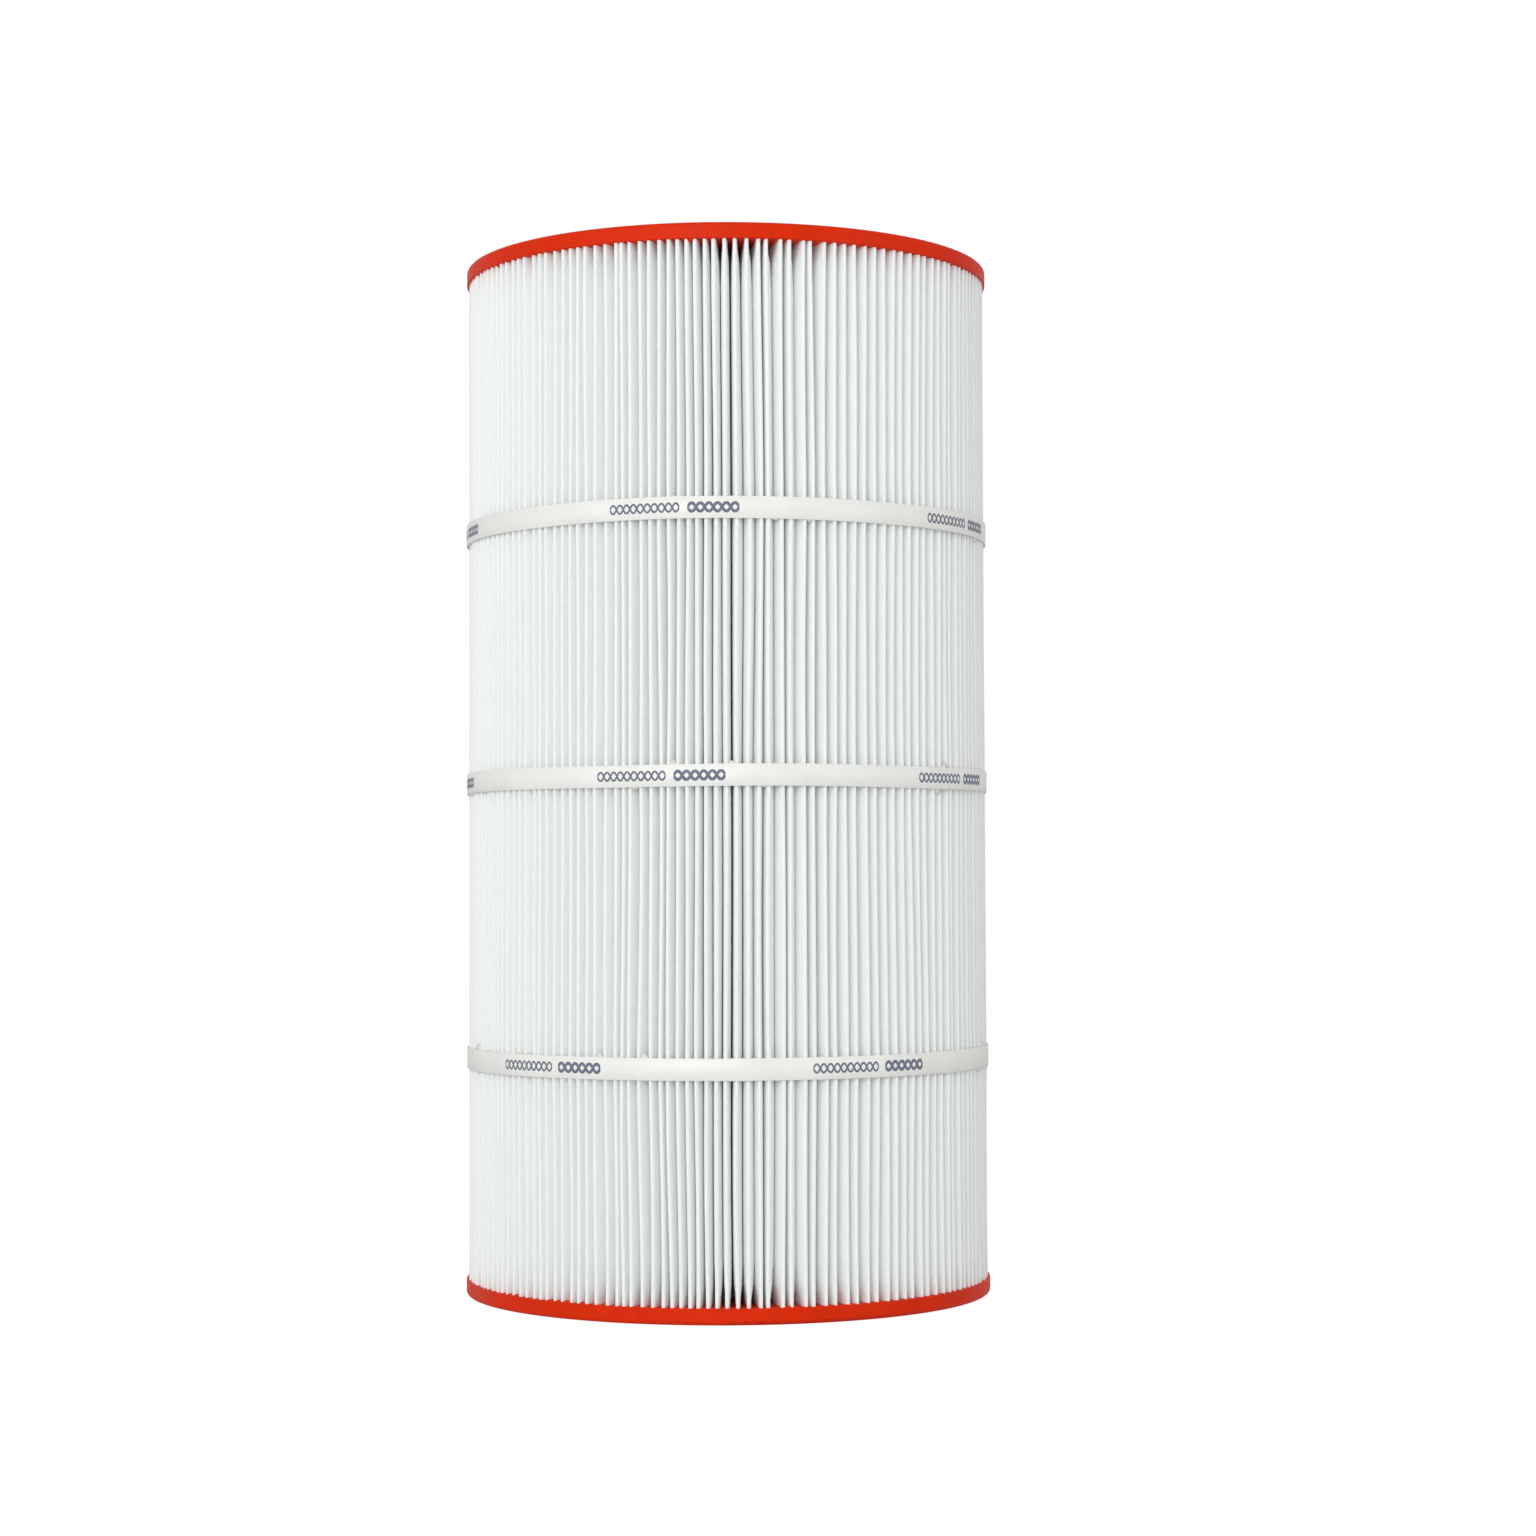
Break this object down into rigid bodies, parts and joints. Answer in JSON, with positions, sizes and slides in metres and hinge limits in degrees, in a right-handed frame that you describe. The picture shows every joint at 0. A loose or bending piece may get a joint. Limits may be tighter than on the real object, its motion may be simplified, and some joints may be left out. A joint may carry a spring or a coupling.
{
  "type": "pool filter cartridge",
  "caption": "Cylindrical pool filter cartridge: pleated white media between two open orange-red end caps, held by white bands round an open perforated core.",
  "frame": {"origin": "centre of the bottom cap's flat face, on the cartridge's axis", "axes": "+Z along the axis, from the bottom cap to the top cap; +Y towards the media's side seam and the bands' welded overlaps; -Y is the side the picture shows"},
  "size_m": [0.227, 0.227, 0.444],
  "materials": {
    "cap_urethane": "satin",
    "media_polyester": "matte",
    "core_plastic": "satin",
    "band_tape": "satin",
    "hot_melt": "satin"
  },
  "bodies": {
    "root": {"bottom_end_cap": "cap_urethane", "top_end_cap": "cap_urethane", "pleated_media": "media_polyester", "side_seam_bead": "hot_melt", "core_section_1": "core_plastic", "core_section_2": "core_plastic", "core_section_3": "core_plastic", "core_section_4": "core_plastic", "bottom_band": "band_tape", "bottom_band_adhesive": "hot_melt", "middle_band": "band_tape", "middle_band_adhesive": "hot_melt", "top_band": "band_tape", "top_band_adhesive": "hot_melt"}
  },
  "joints": []
}
